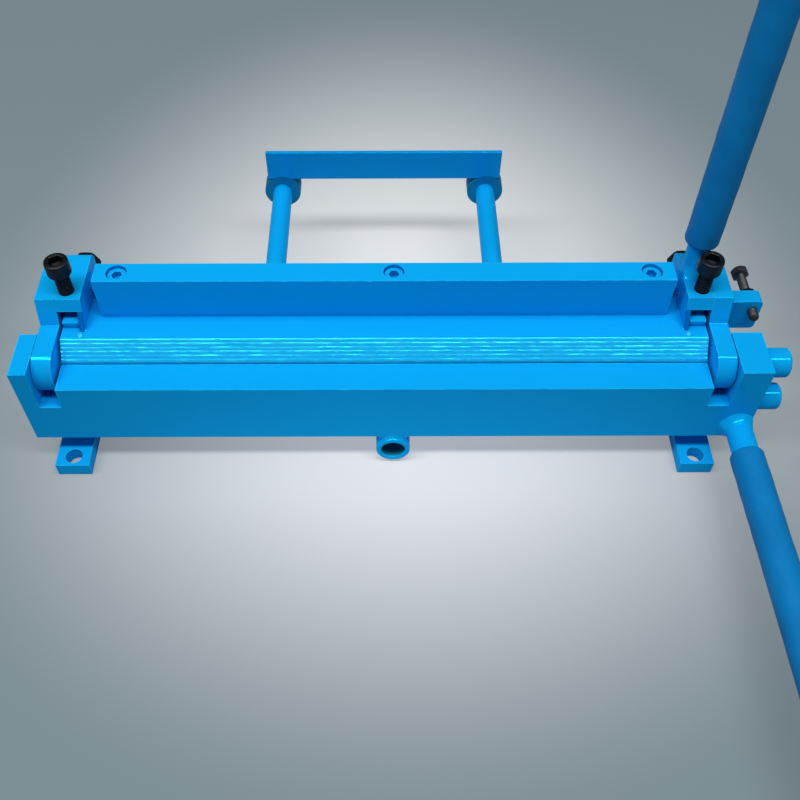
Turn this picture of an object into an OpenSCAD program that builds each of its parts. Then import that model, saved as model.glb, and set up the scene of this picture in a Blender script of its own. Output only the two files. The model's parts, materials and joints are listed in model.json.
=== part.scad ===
// Hand-worked bench folder for thin sheet metal.
// A leaf hinged along the bed's front edge folds the sheet, a clamp beam on two rocking arms
// holds it down, a back gauge on two rods sets the flange and a bolt stops the leaf.
// X runs along the bending edge, +Y to the back, +Z up.
// The origin is on the bench, in the middle of the four foot holes.

/* [Bed] */
// Length of the bending edge
work_w = 400; // [300:5:500]
// Height of the bed face above the bench
bed_top = 73; // [72:1:90]
// Depth of the bed bar, front to back
bed_d = 60; // [45:1:62]
// Height of the bed bar
bed_h = 50; // [36:1:60]
// Gap between the leaf's rear face and the bed
leaf_gap = 1; // [0.3:0.1:1.2]

/* [End cheeks] */
// Thickness of each cheek plate
cheek_t = 12; // [8:0.5:16]
// Radius of the hinge lug
lug_r = 15.6; // [15:0.1:17]
// Height of the lug's flat top, and of the leaf's ears, above the bed
lug_top = 14.4; // [13:0.1:15]
// How far the lug's flat top runs behind the hinge axis
lug_back = 19.8; // [18:0.1:21]
// Height of the upstand above the bed face
cheek_top = 32; // [30:0.5:36]
// How far the upstand's front edge leans back
cheek_lean = 5; // [3:0.1:6]
// Depth of the cheek behind the hinge axis
cheek_d = 67; // [66:0.5:72]
// Radius of the upstand's rear corner
cheek_round = 5; // [3:0.5:7]

/* [Foot bars] */
// Width of each foot bar
foot_w = 22; // [18:1:30]
// How far each foot bar stands out past its cheek
foot_out = 1; // [0:0.1:6]
// Thickness of each foot bar
foot_t = 10; // [8:0.5:12]
// Diameter of the bolt holes
foot_hole_d = 11; // [9:0.5:12]
// Front hole, measured forward from the hinge axis
foot_hole_front = 25; // [22:0.5:40]
// Rear hole, measured back from the hinge axis
foot_hole_back = 85; // [78:0.5:100]
// Foot length beyond each hole
foot_lip = 7.6; // [7:0.1:15]

/* [Bending leaf] */
// Thickness of the leaf, front to back
leaf_d = 20.5; // [19:0.5:24]
// Height of the leaf
leaf_h = 48.5; // [47:0.5:50]
// How far the ears reach behind the hinge axis
ear_back = 12.3; // [11.5:0.1:14]
// Width of the left ear
left_ear_w = 10.7; // [8:0.1:20]
// Width of the right ear
right_ear_w = 18.7; // [16:0.1:24]
// Gap between a lug and the end of the bending edge
lug_gap_in = 1.5; // [1:0.1:3]
// Gap between a lug and the ear
lug_gap_out = 0.3; // [0.2:0.1:0.8]
// Gap between a lug and the floor of its notch
notch_gap = 1.6; // [1.4:0.1:3]
// Fillet in the corners of the notch floor
notch_fillet = 1.4; // [0.6:0.1:1.4]

/* [Hinge and forming pins] */
// Diameter of the hinge pins
hinge_pin_d = 18.5; // [12:0.5:19]
// Diameter of the forming pin
forming_pin_d = 17; // [12:0.5:17.5]
// How far the hinge pin stands out of the right ear
pin_reach = 17; // [10:0.5:30]
// How far the forming pin stands out of the right ear
forming_pin_reach = 15; // [10:0.5:30]
// Edge rounding of the standing pin ends
pin_round = 2; // [0.5:0.25:3]
// Drop of the forming pin below the hinge axis
forming_pin_drop = 20.8; // [20:0.1:26]
// Forming pin ahead of the hinge axis
forming_pin_ahead = 9.8; // [9:0.1:11.5]

/* [Handle socket] */
// Outer diameter of the socket tube
socket_d = 22; // [20:0.1:24]
// Bore at the mouth
socket_bore = 15.5; // [11:0.5:17]
// Depth of that bore
socket_depth = 15; // [8:0.5:20]
// Smaller hole that goes on through
socket_hole = 8; // [5:0.5:10]
// Position along the leaf
socket_x = 5.5; // [-20:0.5:20]
// How far the mouth stands in front of the leaf
socket_out = 3; // [0:0.5:8]
// Drop of the tube's axis below the leaf
socket_drop = 11.5; // [9:0.5:12]
// Width of the welded neck between the tube and the leaf
socket_neck = 18; // [10:0.5:20]

/* [Bend lever] */
// Diameter of the lever rod
bend_rod_d = 16.5; // [14:0.5:17]
// Lever position beyond the bending edge's right end
bend_lever_out = 24.5; // [22:0.5:26]
// Lever drop below the hinge axis
bend_lever_drop = 37; // [30:0.5:38]
// Rise of the lever towards its end, in degrees
bend_lever_rise = 2.2; // [0:0.1:10]
// Length of the lever in front of the leaf
bend_lever_len = 262; // [180:1:330]
// Bare rod between the leaf and the grip
bend_bare = 24; // [15:0.5:40]

/* [Clamp lever] */
// Diameter of the lever rod
clamp_rod_d = 14; // [12:0.5:15]
// Lever position inside the arm's outer face
clamp_lever_in = 8.8; // [8:0.1:9]
// Lever position behind the hinge axis
clamp_lever_y = 50; // [50:0.5:53]
// Backward lean of the lever, in degrees
clamp_lever_lean = 1.3; // [0:0.1:2]
// Length of the lever above the arm
clamp_lever_len = 258; // [180:1:330]
// Bare rod between the arm and the grip
clamp_bare = 22; // [10:0.5:40]

/* [Grips] */
// Outer diameter of both grips
grip_d = 21.2; // [20:0.2:21.8]
// Thickness of the closed grip end
grip_cap = 5; // [3:0.5:8]
// Rounding of the closed grip end
grip_round = 5; // [3:0.5:5]

/* [Clamp beam] */
// Thickness of the clamp plate
plate_t = 12; // [9:0.5:13]
// Depth of the clamp plate behind the hinge axis
plate_d = 44.9; // [43:0.1:45]
// Clearance left for the sheet when the clamp is shut
sheet_gap = 0.3; // [0.2:0.1:1]
// Setback of the nose edge behind the hinge axis
nose_setback = 1.3; // [1.2:0.1:2]
// Where the bevelled nose meets the plate's top
nose_run = 10.7; // [9.5:0.1:13]
// Number of ridges on the nose
ridge_count = 6; // [4:1:10]
// Height of each ridge
ridge_h = 0.55; // [0.1:0.05:0.7]
// Gap between each end of the back bar and the clamp arm
bar_end_gap = 8.5; // [4:0.5:40]
// Thickness of the back bar, front to back
bar_d = 15.7; // [14.2:0.1:18]
// Height of the back bar
bar_h = 30.7; // [22:0.1:40]
// End screws of the bar, measured from its ends
bar_screw_in = 14; // [9:0.5:60]
// Middle screw of the bar
bar_mid_x = 6; // [-20:1:20]
// Thread diameter of the bar screws
bar_screw_d = 8; // [6:0.5:8]
// Head diameter of the bar screws
bar_head_d = 12.4; // [11:0.1:12.6]
// Head height of the bar screws
bar_head_h = 8; // [6:0.5:9]
// Key size of the bar screws
bar_key = 6; // [4:0.5:7]

/* [Clamp arms] */
// Thickness of each arm
arm_t = 15.8; // [14:0.1:16]
// Height of the arm's underside above the bed at its front
arm_under = 23.6; // [22.5:0.1:25.5]
// Front of the hub, behind the hinge axis
hub_front = 38.5; // [38:0.1:40]
// Height of the hub's underside above the bed
hub_under = 8.5; // [5:0.5:9.5]
// Clearance between an arm and its cheek
arm_gap = 0.15; // [0.1:0.05:0.5]
// Diameter of the clamp shaft
shaft_d = 14; // [10:0.5:14]
// Shaft position behind the hinge axis
shaft_y = 52.5; // [52.4:0.1:54]
// Shaft height above the bed face
shaft_z = 18.5; // [18:0.1:21]
// Thread diameter of the set bolts
set_bolt_d = 10; // [6:0.5:10]
// Width across flats of the set bolt heads
set_bolt_af = 15; // [12:0.5:15]
// Height of the set bolt heads
set_bolt_head = 6.4; // [5:0.2:8]
// Set bolts inside the arm's outer face
set_bolt_in = 8.9; // [8.8:0.1:9.2]

/* [End angles] */
// Thickness of the pad under each adjusting screw
pad_t = 4.5; // [3:0.1:6]
// Front of the pad, behind the hinge axis
pad_front = 19.8; // [17:0.1:23]
// Thickness of the upright web
web_t = 3.3; // [2:0.1:3.8]
// Front foot of the web, behind the hinge axis
web_front = 16; // [14:0.1:19]

/* [Adjusting screws] */
// Thread diameter
screw_d = 9.5; // [8:0.5:10]
// Head diameter
screw_head_d = 14.8; // [13:0.1:15]
// Head height
screw_head_h = 10; // [8:0.5:12]
// Key size
screw_key = 8.5; // [5:0.5:9]
// Screw position inside the arm's outer face
screw_in = 6.4; // [6:0.1:7]
// Screw position behind the hinge axis
screw_y = 32.3; // [31:0.1:32.5]
// Height of the head's top above the arm
screw_stand = 25.5; // [22:0.5:30]

/* [Back gauge] */
// Diameter of the gauge rods
gauge_rod_d = 14; // [12:0.5:16]
// Rod position either side of the middle
gauge_rod_x = 75.5; // [50:0.5:110]
// Drop of the rods below the bed face
gauge_rod_drop = 15; // [12:0.5:20]
// Length of rod held in the bed
gauge_rod_seat = 30; // [20:1:40]
// Front of the stop plate, behind the hinge axis
gauge_y = 181.5; // [175:0.5:260]
// Diameter of the collars
collar_d = 26.4; // [22:0.2:30]
// Length of the collars
collar_len = 12; // [10:0.5:20]
// How far the stop plate runs past the rods
gauge_overhang = 10; // [2:0.5:40]
// Thickness of the stop plate
gauge_t = 3; // [2:0.5:9]
// Top of the stop plate above the bed face
gauge_top = 20.4; // [15:0.1:30]
// How deep the plate sits over the collars
gauge_saddle = 1.5; // [1:0.1:4]
// Diameter of the collar set screws
collar_screw_d = 6; // [4:0.5:6]

/* [Angle stop] */
// Reach of the bracket beyond the cheek
bracket_out = 23.7; // [23:0.1:30]
// Front of the bracket, behind the hinge axis
bracket_y = 32.6; // [30:0.1:34]
// Thickness of the bracket, front to back
bracket_d = 10.3; // [8:0.1:12]
// Top of the bracket above the bed face
bracket_top = 20; // [18:0.5:24]
// Height of the bracket
bracket_h = 24; // [20:0.5:30]
// Radius of the bracket's outer corners
bracket_round = 3; // [1:0.5:5]
// Stop bolt beyond the cheek's outer face
stop_out = 18.3; // [14:0.1:18.8]
// Stop bolt height above the bed face
stop_z = 12; // [10:0.5:13]
// Tip of the stop bolt, behind the hinge axis
stop_tip = 25.5; // [25.2:0.1:28]
// Length of the stop bolt under its head
stop_len = 38.5; // [36:0.5:50]
// Thread diameter of the stop bolt
stop_d = 6; // [5:0.5:8]
// Width across flats of the stop bolt's head and lock nut
stop_af = 10; // [9.5:0.5:13]
// Height of the stop bolt's head
stop_head = 4.5; // [3:0.1:7]
// Height of the lock nut
stop_nut = 5; // [4:0.1:8]

/* [Fits] */
// Radial clearance of turning and sliding fits
run_fit = 0.05; // [0.02:0.01:0.1]
// Radial clearance of pressed and threaded seats
seat_fit = 0.02; // [0.01:0.01:0.05]
// Air left where one moving piece stops against another
rest_gap = 0.3; // [0.2:0.05:0.5]

/* [Hidden] */
$fn = 64;
paint = "deepskyblue";
grip_blue = "steelblue";
black = "dimgray";
left = -1;
right = 1;
eps = 0.01;

// Everything above the bench is measured from the hinge axis, which lies on the bed's front edge.
hinge_y = (foot_hole_front - foot_hole_back) / 2;
half_w = work_w / 2;
cheek_in = half_w + lug_gap_in;
cheek_out = cheek_in + cheek_t;
cheek_foot = foot_t - bed_top;
foot_x = cheek_out + foot_out - foot_w / 2;
ear_in = cheek_out + lug_gap_out;
left_end = ear_in + left_ear_w;
right_end = ear_in + right_ear_w;
socket_z = -leaf_h - socket_drop;
notch_floor = -lug_r - notch_gap;
bed_back = leaf_gap + bed_d;
bar_front = plate_d - bar_d;
bar_top = plate_t + bar_h;
arm_out = cheek_in - arm_gap;
arm_in = arm_out - arm_t;
bar_half = arm_in - bar_end_gap;
bar_screw_x = bar_half - bar_screw_in;
hub_step = plate_d + rest_gap;
pad_top = plate_t + pad_t;
pad_back = hub_front - rest_gap;
screw_top = cheek_top + screw_stand;
head_sink = 2;
gauge_rod_end = gauge_y + collar_len + 2;
gauge_half = gauge_rod_x + gauge_overhang;
weld_w = 2;
key_depth = 0.55;

// Where the upstand's leaning front edge stands at a height above the bed
function front_edge(z) = lug_back + cheek_lean * (z - lug_top) / (cheek_top - lug_top);

module in_hinge_frame() translate([0, hinge_y, bed_top]) children();

// Pieces are drawn for the right end and mirrored for the left.
module on_side(side) mirror([side == left ? 1 : 0, 0, 0]) children();

module block(from, to) translate(from) cube(to - from);

// Extrudes a side profile, drawn with Y across and Z up, between two places along X.
module side_profile(x_from, x_to)
    translate([x_from, 0, 0]) rotate([90, 0, 90]) linear_extrude(x_to - x_from) children();

module rod_x(d, x_from, x_to)
    translate([x_from, 0, 0]) rotate([0, 90, 0]) cylinder(d = d, h = x_to - x_from);

module rod_y(d, y_from, y_to)
    translate([0, y_from, 0]) rotate([-90, 0, 0]) cylinder(d = d, h = y_to - y_from);

// Upright round bar whose top edge is rounded
module rounded_stub(d, h, r)
    rotate_extrude() {
        square([d / 2, h - r]);
        square([d / 2 - r, h]);
        translate([d / 2 - r, h - r]) circle(r = r, $fn = 32);
    }

// Rounds the inside corner between two edges that leave the origin along +X and +Y.
module inside_fillet(r)
    difference() {
        translate([-eps, -eps]) square(r + eps);
        translate([r, r]) circle(r = r);
    }

module hexagon_bar(af, h) cylinder(d = af / cos(30), h = h, $fn = 6);

// Hex head or nut that stands on Z = 0, with its top corners turned down
module hex_head(af, h)
    intersection() {
        hexagon_bar(af, h);
        union() {
            cylinder(d = 2 * af, h = h - 0.1 * af);
            translate([0, 0, h - 0.1 * af - eps]) cylinder(d1 = 1.2 * af, d2 = 0.95 * af, h = 0.1 * af + eps);
        }
    }

// Bolt along Z: the shank hangs below Z = 0 and the head stands above it.
module hex_bolt(d, len, af, head_h) {
    hex_head(af, head_h);
    translate([0, 0, -len]) cylinder(d = d, h = len + eps);
}

// Socket screw along Z: the shank hangs below Z = 0 and the head stands above it.
module socket_screw(d, len, head_d, head_h, key) {
    difference() {
        rounded_stub(head_d, head_h, head_d / 16);
        translate([0, 0, head_h * (1 - key_depth)]) hexagon_bar(key, head_h);
    }
    translate([0, 0, -len]) cylinder(d = d, h = len + eps);
}

// Sleeve grip along +Z with an open, rounded mouth at Z = 0 and a closed end
module grip_sleeve(bore_d, len) {
    wall = (grip_d - bore_d) / 2 - seat_fit;
    color(grip_blue) rotate_extrude() difference() {
        union() {
            translate([0, wall]) square([grip_d / 2, len - wall - grip_round]);
            square([grip_d / 2 - grip_round, len]);
            square([grip_d / 2 - wall, len / 2]);
            translate([grip_d / 2 - wall, wall]) circle(r = wall);
            translate([grip_d / 2 - grip_round, len - grip_round]) circle(r = grip_round);
        }
        translate([0, -eps]) square([bore_d / 2 + seat_fit, len - grip_cap + eps]);
    }
}

// Base

module bed_bar()
    color(paint) in_hinge_frame() difference() {
        block([-cheek_in, leaf_gap, -bed_h], [cheek_in, bed_back, 0]);
        for (x = [-gauge_rod_x, gauge_rod_x])
            translate([x, 0, -gauge_rod_drop])
                rod_y(gauge_rod_d + 2 * seat_fit, bed_back - gauge_rod_seat, bed_back + eps);
    }

module cheek_profile() {
    intersection() {
        circle(r = lug_r);
        translate([-lug_r, -lug_r]) square([2 * lug_r, lug_r + lug_top]);
    }
    polygon([
        [leaf_gap, cheek_foot], [cheek_d, cheek_foot],
        [cheek_d, cheek_top - cheek_round], [cheek_d - cheek_round, cheek_top],
        [front_edge(cheek_top), cheek_top], [lug_back, lug_top],
        [0, lug_top], [0, 0], [leaf_gap, 0]
    ]);
    translate([cheek_d - cheek_round, cheek_top - cheek_round]) circle(r = cheek_round);
}

module cheek(side)
    color(paint) in_hinge_frame() on_side(side) difference() {
        side_profile(cheek_in, cheek_out) cheek_profile();
        rod_x(hinge_pin_d + 2 * run_fit, cheek_in - eps, cheek_out + eps);
        translate([0, shaft_y, shaft_z])
            rod_x(shaft_d + 2 * run_fit, cheek_in - eps, cheek_out + eps);
    }

module left_cheek() cheek(left);
module right_cheek() cheek(right);

module foot_bar(side)
    color(paint) translate([0, hinge_y, 0]) on_side(side) difference() {
        block([foot_x - foot_w / 2, -foot_hole_front - foot_lip, 0],
              [foot_x + foot_w / 2, foot_hole_back + foot_lip, foot_t]);
        for (y = [-foot_hole_front, foot_hole_back])
            translate([foot_x, y, -eps]) cylinder(d = foot_hole_d, h = foot_t + 2 * eps);
    }

module left_foot_bar() foot_bar(left);
module right_foot_bar() foot_bar(right);

module gauge_rod(side)
    color(paint) in_hinge_frame() translate([side * gauge_rod_x, 0, -gauge_rod_drop])
        rod_y(gauge_rod_d, bed_back - gauge_rod_seat, gauge_rod_end);

module left_gauge_rod() gauge_rod(left);
module right_gauge_rod() gauge_rod(right);

module at_stop_bolt() in_hinge_frame() translate([cheek_out + stop_out, 0, stop_z]) children();

// Front view of the bracket, with its outer corners rounded
module bracket_front() {
    square([bracket_out - bracket_round, bracket_h]);
    translate([0, bracket_round]) square([bracket_out, bracket_h - 2 * bracket_round]);
    for (z = [bracket_round, bracket_h - bracket_round])
        translate([bracket_out - bracket_round, z]) circle(r = bracket_round);
}

module stop_bracket()
    color(paint) difference() {
        in_hinge_frame() translate([cheek_out, bracket_y + bracket_d, bracket_top - bracket_h])
            rotate([90, 0, 0]) linear_extrude(bracket_d) bracket_front();
        at_stop_bolt() rod_y(stop_d + 2 * run_fit, bracket_y - eps, bracket_y + bracket_d + eps);
    }

module stop_lock_nut()
    color(black) at_stop_bolt() difference() {
        translate([0, bracket_y + bracket_d, 0]) rotate([-90, 0, 0]) hex_head(stop_af, stop_nut);
        rod_y(stop_d + 2 * run_fit, bracket_y, bracket_y + bracket_d + stop_nut + eps);
    }

// Bending leaf

// Front view of the leaf: the bending edge between two notches, and an ear beyond each
module leaf_front() {
    polygon([
        [-left_end, -leaf_h], [right_end, -leaf_h], [right_end, lug_top], [ear_in, lug_top],
        [ear_in, notch_floor], [half_w, notch_floor], [half_w, 0],
        [-half_w, 0], [-half_w, notch_floor], [-ear_in, notch_floor],
        [-ear_in, lug_top], [-left_end, lug_top]
    ]);
    for (side = [0, 1]) mirror([side, 0]) {
        translate([half_w, notch_floor]) inside_fillet(notch_fillet);
        translate([ear_in, notch_floor]) mirror([1, 0]) inside_fillet(notch_fillet);
    }
}

module ear(x_from, x_to) block([x_from, -leaf_d, -leaf_h], [x_to, ear_back, lug_top]);

module bending_leaf()
    color(paint) in_hinge_frame() difference() {
        union() {
            rotate([90, 0, 0]) linear_extrude(leaf_d) leaf_front();
            ear(-left_end, -ear_in);
            ear(ear_in, right_end);
        }
        rod_x(hinge_pin_d + 2 * seat_fit, ear_in - eps, right_end + eps);
        rod_x(hinge_pin_d + 2 * seat_fit, -left_end - eps, -ear_in + eps);
    }

module left_hinge_pin()
    color(paint) in_hinge_frame() rod_x(hinge_pin_d, -left_end, -cheek_in);

module right_hinge_pin()
    color(paint) in_hinge_frame() translate([cheek_in, 0, 0]) rotate([0, 90, 0])
        rounded_stub(hinge_pin_d, right_end + pin_reach - cheek_in, pin_round);

module forming_pin()
    color(paint) in_hinge_frame() translate([right_end, -forming_pin_ahead, -forming_pin_drop])
        rotate([0, 90, 0]) rounded_stub(forming_pin_d, forming_pin_reach, pin_round);

// The tube hangs on a weld-filled neck under the leaf.
module handle_socket()
    color(paint) in_hinge_frame() translate([socket_x, 0, socket_z]) difference() {
        union() {
            rod_y(socket_d, -leaf_d - socket_out, 0);
            block([-socket_neck / 2, -leaf_d, 0], [socket_neck / 2, 0, socket_drop]);
        }
        rod_y(socket_bore, -leaf_d - socket_out - eps, -leaf_d - socket_out + socket_depth);
        rod_y(socket_hole, -leaf_d, eps);
        block([-socket_d, -leaf_d - socket_out - eps, socket_drop], [socket_d, eps, socket_drop + socket_d]);
    }

module at_bend_lever()
    in_hinge_frame() translate([half_w + bend_lever_out, -leaf_d, -bend_lever_drop])
        rotate([90 - bend_lever_rise, 0, 0]) children();

// Lever rod with its weld, which runs into the piece it stands on and is trimmed there
module lever_rod(d, len)
    rotate_extrude()
        polygon([
            [0, -weld_w], [d / 2 + weld_w, -weld_w], [d / 2 + weld_w, 0.5 * weld_w],
            [d / 2, 1.8 * weld_w], [d / 2, len - grip_cap - rest_gap], [0, len - grip_cap - rest_gap]
        ]);

module bend_lever_rod()
    color(paint) difference() {
        at_bend_lever() lever_rod(bend_rod_d, bend_lever_len);
        in_hinge_frame() block([half_w, -leaf_d, -leaf_h], [2 * half_w, leaf_d, leaf_h]);
    }

module bend_lever_grip()
    at_bend_lever() translate([0, 0, bend_bare]) grip_sleeve(bend_rod_d, bend_lever_len - bend_bare);

// Clamp beam and arms

// A place on the nose bevel, from the bending edge at 0 to the plate's top at 1
function bevel(f) = [nose_setback + (nose_run - nose_setback) * f, sheet_gap + (plate_t - sheet_gap) * f];
bevel_out = [sheet_gap - plate_t, nose_run - nose_setback] / norm(bevel(1) - bevel(0));

module clamp_plate_profile()
    polygon([
        for (i = [0:ridge_count - 1]) each [
            bevel(i / ridge_count),
            bevel((i + 0.7) / ridge_count) + ridge_h * bevel_out
        ],
        bevel(1), [plate_d, plate_t], [plate_d, sheet_gap]
    ]);

module at_bar_screws()
    for (x = [-bar_screw_x, bar_mid_x, bar_screw_x])
        translate([x, plate_d - bar_d / 2, bar_top - head_sink - bar_head_h]) children();

bar_screw_len = bar_top - head_sink - bar_head_h - sheet_gap - plate_t / 3;

module clamp_plate()
    color(paint) in_hinge_frame() difference() {
        side_profile(-half_w, half_w) clamp_plate_profile();
        at_bar_screws() translate([0, 0, -bar_screw_len - rest_gap])
            cylinder(d = bar_screw_d + 2 * seat_fit, h = bar_screw_len);
    }

module back_bar()
    color(paint) in_hinge_frame() difference() {
        block([-bar_half, bar_front, plate_t], [bar_half, plate_d, bar_top]);
        at_bar_screws() {
            cylinder(d = bar_head_d + 2 * rest_gap, h = bar_head_h + 2 * head_sink);
            translate([0, 0, -bar_h]) cylinder(d = bar_screw_d + 2 * rest_gap, h = bar_h + eps);
        }
    }

module back_bar_screws()
    color(paint) in_hinge_frame() at_bar_screws()
        socket_screw(bar_screw_d, bar_screw_len, bar_head_d, bar_head_h, bar_key);

// Pad under the adjusting screw, with a web that stands up to the arm's underside
module end_angle(side)
    color(paint) in_hinge_frame() on_side(side) {
        block([arm_in + web_t / 2, pad_front, plate_t], [half_w - rest_gap, pad_back, pad_top]);
        side_profile(arm_in, arm_in + web_t) polygon([
            [web_front, plate_t], [pad_back, plate_t], [pad_back, arm_under],
            [front_edge(arm_under), arm_under]
        ]);
    }

module left_end_angle() end_angle(left);
module right_end_angle() end_angle(right);

module arm_profile() {
    polygon([
        [front_edge(arm_under), arm_under], [hub_front, arm_under],
        [hub_front, plate_t], [hub_step, plate_t], [hub_step, hub_under],
        [cheek_d - cheek_round, hub_under], [cheek_d, hub_under + cheek_round],
        [cheek_d, cheek_top - cheek_round], [cheek_d - cheek_round, cheek_top],
        [front_edge(cheek_top), cheek_top]
    ]);
    for (z = [hub_under + cheek_round, cheek_top - cheek_round])
        translate([cheek_d - cheek_round, z]) circle(r = cheek_round);
}

module clamp_arm(side)
    color(paint) in_hinge_frame() on_side(side) difference() {
        side_profile(arm_in, arm_out) arm_profile();
        translate([0, shaft_y, shaft_z]) rod_x(shaft_d + 2 * seat_fit, arm_in - eps, arm_out + eps);
        translate([arm_out - screw_in, screw_y, arm_under - eps])
            cylinder(d = screw_d + 2 * run_fit, h = cheek_top - arm_under + 2 * eps);
        translate([arm_out - set_bolt_in, 0, shaft_z])
            rod_y(set_bolt_d + 2 * seat_fit, shaft_y, cheek_d + eps);
    }

module left_clamp_arm() clamp_arm(left);
module right_clamp_arm() clamp_arm(right);

module clamp_shaft()
    color(paint) in_hinge_frame() translate([0, shaft_y, shaft_z])
        rod_x(shaft_d, -cheek_out + rest_gap, cheek_out - rest_gap);

module arm_set_bolts()
    color(black) in_hinge_frame() for (side = [left, right])
        translate([side * (arm_out - set_bolt_in), cheek_d, shaft_z]) rotate([-90, 0, 0])
            hex_bolt(set_bolt_d, cheek_d - shaft_y - shaft_d / 2 - rest_gap, set_bolt_af, set_bolt_head);

module at_clamp_lever()
    in_hinge_frame() translate([arm_out - clamp_lever_in, clamp_lever_y, cheek_top])
        rotate([-clamp_lever_lean, 0, 0]) children();

module clamp_lever_rod()
    color(paint) intersection() {
        at_clamp_lever() lever_rod(clamp_rod_d, clamp_lever_len);
        in_hinge_frame() block([arm_in, 0, cheek_top], [arm_out, 2 * cheek_d, cheek_top + clamp_lever_len]);
    }

module clamp_lever_grip()
    at_clamp_lever() translate([0, 0, clamp_bare])
        grip_sleeve(clamp_rod_d, clamp_lever_len - clamp_bare);

module adjusting_screw(side)
    color(black) in_hinge_frame()
        translate([side * (arm_out - screw_in), screw_y, screw_top - screw_head_h])
            socket_screw(screw_d, screw_top - screw_head_h - pad_top - rest_gap,
                         screw_head_d, screw_head_h, screw_key);

module left_adjusting_screw() adjusting_screw(left);
module right_adjusting_screw() adjusting_screw(right);

// Back gauge

module collar_round(d) translate([0, 0, -gauge_rod_drop]) rod_y(d, gauge_y, gauge_y + collar_len);

module gauge_collar(side)
    color(paint) in_hinge_frame() translate([side * gauge_rod_x, 0, 0]) difference() {
        collar_round(collar_d);
        translate([0, 0, -gauge_rod_drop])
            rod_y(gauge_rod_d + 2 * run_fit, gauge_y - eps, gauge_y + collar_len + eps);
        translate([0, gauge_y + collar_len / 2, -gauge_rod_drop - collar_d / 2 - eps])
            cylinder(d = collar_screw_d + 2 * seat_fit, h = collar_d / 2);
    }

module left_gauge_collar() gauge_collar(left);
module right_gauge_collar() gauge_collar(right);

module gauge_plate()
    color(paint) in_hinge_frame() difference() {
        block([-gauge_half, gauge_y, collar_d / 2 - gauge_rod_drop - gauge_saddle],
              [gauge_half, gauge_y + gauge_t, gauge_top]);
        for (x = [-gauge_rod_x, gauge_rod_x])
            translate([x, -eps, 0]) collar_round(collar_d + 2 * seat_fit);
    }

module collar_set_screws()
    color(black) in_hinge_frame() for (x = [-gauge_rod_x, gauge_rod_x])
        translate([x, gauge_y + collar_len / 2, -gauge_rod_drop - collar_d / 2])
            cylinder(d = collar_screw_d, h = (collar_d - gauge_rod_d) / 2 - rest_gap);

// Angle stop

module stop_bolt()
    color(black) at_stop_bolt() translate([0, stop_tip + stop_len, 0]) rotate([-90, 0, 0])
        hex_bolt(stop_d, stop_len, stop_af, stop_head);

bed_bar();
left_cheek();
right_cheek();
left_foot_bar();
right_foot_bar();
left_gauge_rod();
right_gauge_rod();
stop_bracket();
stop_lock_nut();
bending_leaf();
left_hinge_pin();
right_hinge_pin();
forming_pin();
handle_socket();
bend_lever_rod();
bend_lever_grip();
clamp_plate();
back_bar();
back_bar_screws();
left_end_angle();
right_end_angle();
left_clamp_arm();
right_clamp_arm();
clamp_shaft();
arm_set_bolts();
clamp_lever_rod();
clamp_lever_grip();
left_adjusting_screw();
right_adjusting_screw();
gauge_plate();
left_gauge_collar();
right_gauge_collar();
collar_set_screws();
stop_bolt();
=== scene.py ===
"""Finishes the sheet metal folder: gloss paint, rounded edges, sleeve grips, black screws and welds."""

import json
import math

import bmesh
import bpy
from mathutils import Matrix, Vector, noise


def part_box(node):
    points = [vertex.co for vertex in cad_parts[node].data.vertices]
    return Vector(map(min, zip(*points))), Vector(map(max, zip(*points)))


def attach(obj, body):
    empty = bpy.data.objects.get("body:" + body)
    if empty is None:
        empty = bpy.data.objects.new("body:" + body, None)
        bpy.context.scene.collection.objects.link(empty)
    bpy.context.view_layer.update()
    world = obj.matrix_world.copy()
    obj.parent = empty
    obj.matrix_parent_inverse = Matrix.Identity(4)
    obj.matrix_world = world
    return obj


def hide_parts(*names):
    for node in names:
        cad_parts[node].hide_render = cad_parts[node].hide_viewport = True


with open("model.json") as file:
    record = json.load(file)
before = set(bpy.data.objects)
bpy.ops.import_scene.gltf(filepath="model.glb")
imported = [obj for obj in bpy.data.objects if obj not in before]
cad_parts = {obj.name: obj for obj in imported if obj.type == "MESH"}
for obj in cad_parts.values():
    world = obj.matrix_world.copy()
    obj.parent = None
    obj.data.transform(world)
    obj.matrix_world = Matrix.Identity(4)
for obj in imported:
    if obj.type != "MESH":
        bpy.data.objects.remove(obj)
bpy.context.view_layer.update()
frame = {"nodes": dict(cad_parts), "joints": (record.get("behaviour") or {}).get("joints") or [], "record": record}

bl_info = {
    "name": "Sheet Metal Folder Finish",
    "version": (1, 0, 0),
    "blender": (4, 5, 0),
    "location": "View3D > Sidebar > Folder",
    "description": "Paints and details the parts of a bench sheet metal folder",
    "category": "Object",
}

MM = 0.001
# Points in a turned ring, sides of a weld bead, one step along it, and its steps round a pin
RING = 96
BEAD_SIDES = 12
BEAD_STEP = 0.45 * MM
BEAD_STEPS_ROUND = 120
# Degrees beyond which an edge looks sharp, on plates and on smooth welds
CREASE = 33
SOFT_CREASE = 60
# How near a point counts as on a face
NEAR = 0.1 * MM
# How near two points or two faces count as one, and how sharp a corner is that gets rounded
SAME_POINT = 0.002 * MM
SAME_PLANE = math.radians(0.5)
CORNER = math.radians(35)
# Short lengths that each ridge of the clamp nose is cut into
NOSE_CUTS = 300
# Lengths and heights over which the ridges wander, and the painted highlights on their crests brighten and break
WANDER_LENGTH = 9 * MM
WANDER_HEIGHT = 0.7 * MM
BRIGHT_LENGTH = 17 * MM
BREAK_LENGTH = 3.4 * MM
CREST_HEIGHT = 0.5 * MM
# Radius of the round end of a sleeve grip
GRIP_CAP = 5 * MM
# How far a weld stays inside the face that it runs into
SUNK = 0.05 * MM
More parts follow.
